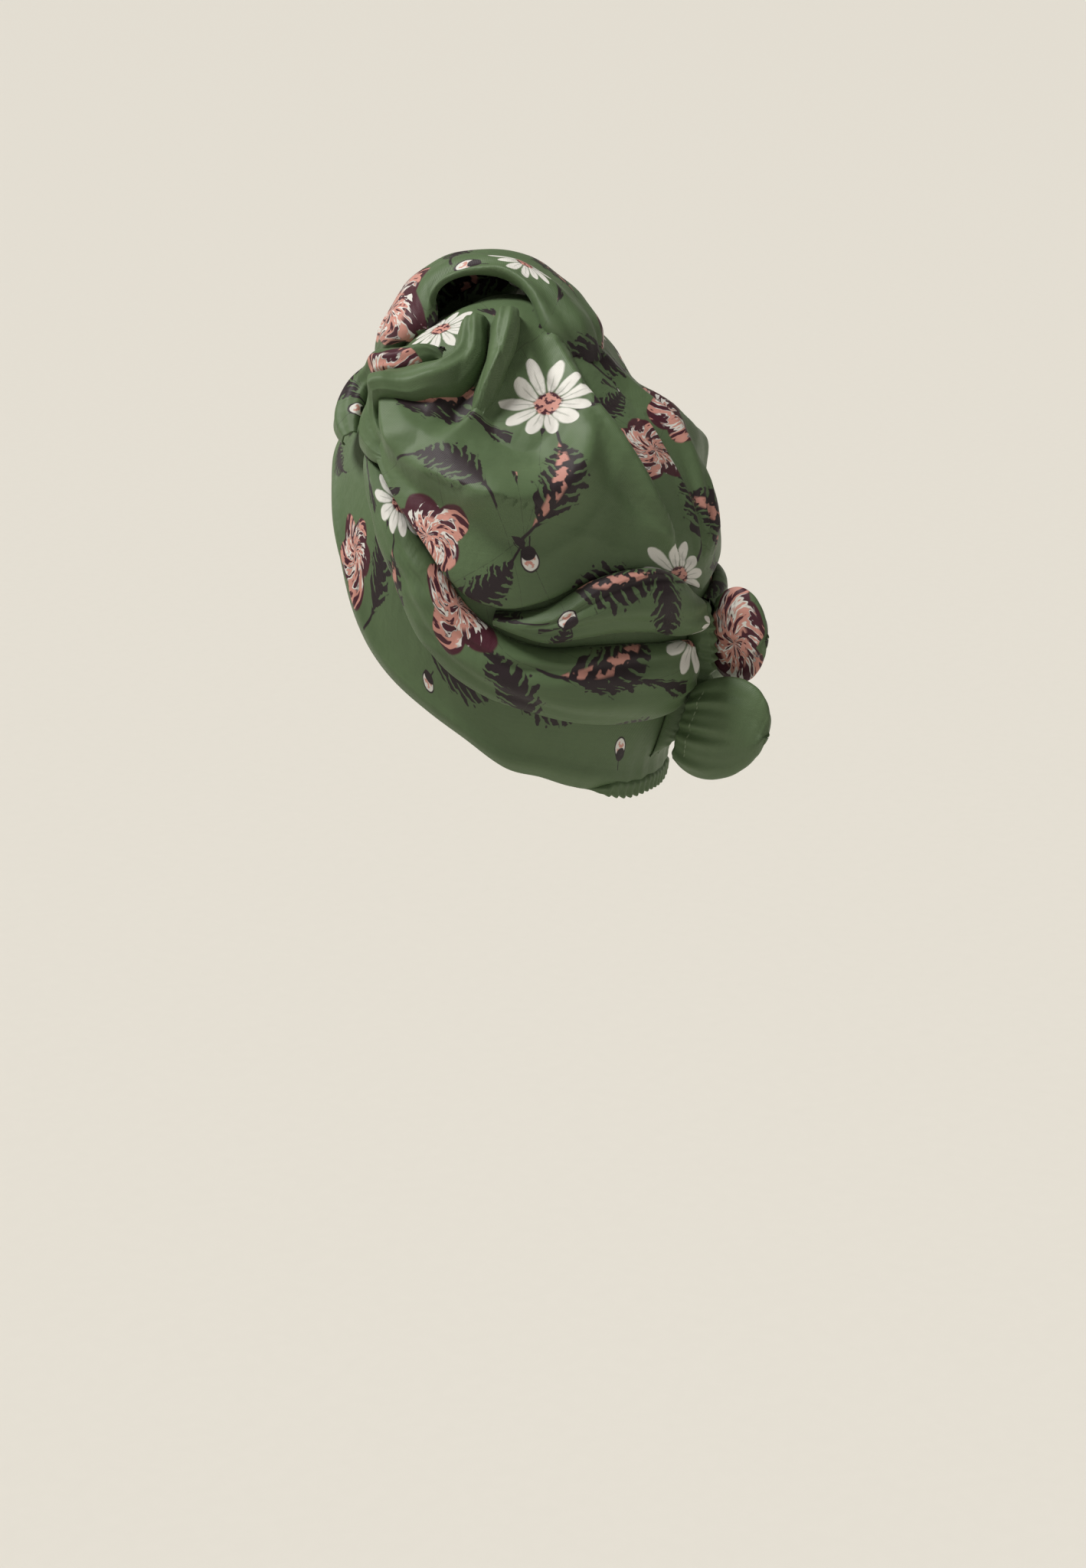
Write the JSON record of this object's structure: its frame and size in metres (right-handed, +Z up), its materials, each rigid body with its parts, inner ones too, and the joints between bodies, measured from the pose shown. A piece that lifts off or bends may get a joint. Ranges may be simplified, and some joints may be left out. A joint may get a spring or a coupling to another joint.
{
  "type": "turban headwrap",
  "caption": "Draped silk turban headwrap with a looped knot on top, folded side swags, a face and nape band, and a gathered ruffle at the back.",
  "frame": {"origin": "middle of the wearer's head, level with the brow, which is the point the turban is held up by", "axes": "+Z up, the wearer's face looks towards -Y, the wearer's left hand is at +X"},
  "size_m": [0.1842, 0.2001, 0.2245],
  "materials": {
    "face_band": "satin",
    "nape_frill": "satin",
    "crown": "satin",
    "lower_swag_left": "satin",
    "lower_swag_right": "satin",
    "back_pleat_left": "satin",
    "back_pleat_right": "satin",
    "front_roll": "satin",
    "knot_hood": "satin",
    "long_pleat": "satin",
    "short_pleat": "satin",
    "front_loop": "satin",
    "back_casing": "satin",
    "ruffle_upper": "satin",
    "ruffle_lower": "satin"
  },
  "bodies": {
    "root": {"face_band": "face_band", "nape_frill": "nape_frill", "crown": "crown", "lower_swag_left": "lower_swag_left", "lower_swag_right": "lower_swag_right", "back_pleat_left": "back_pleat_left", "back_pleat_right": "back_pleat_right", "front_roll": "front_roll", "knot_hood": "knot_hood", "long_pleat": "long_pleat", "short_pleat": "short_pleat", "front_loop": "front_loop", "back_casing": "back_casing", "ruffle_upper": "ruffle_upper", "ruffle_lower": "ruffle_lower"}
  },
  "joints": []
}
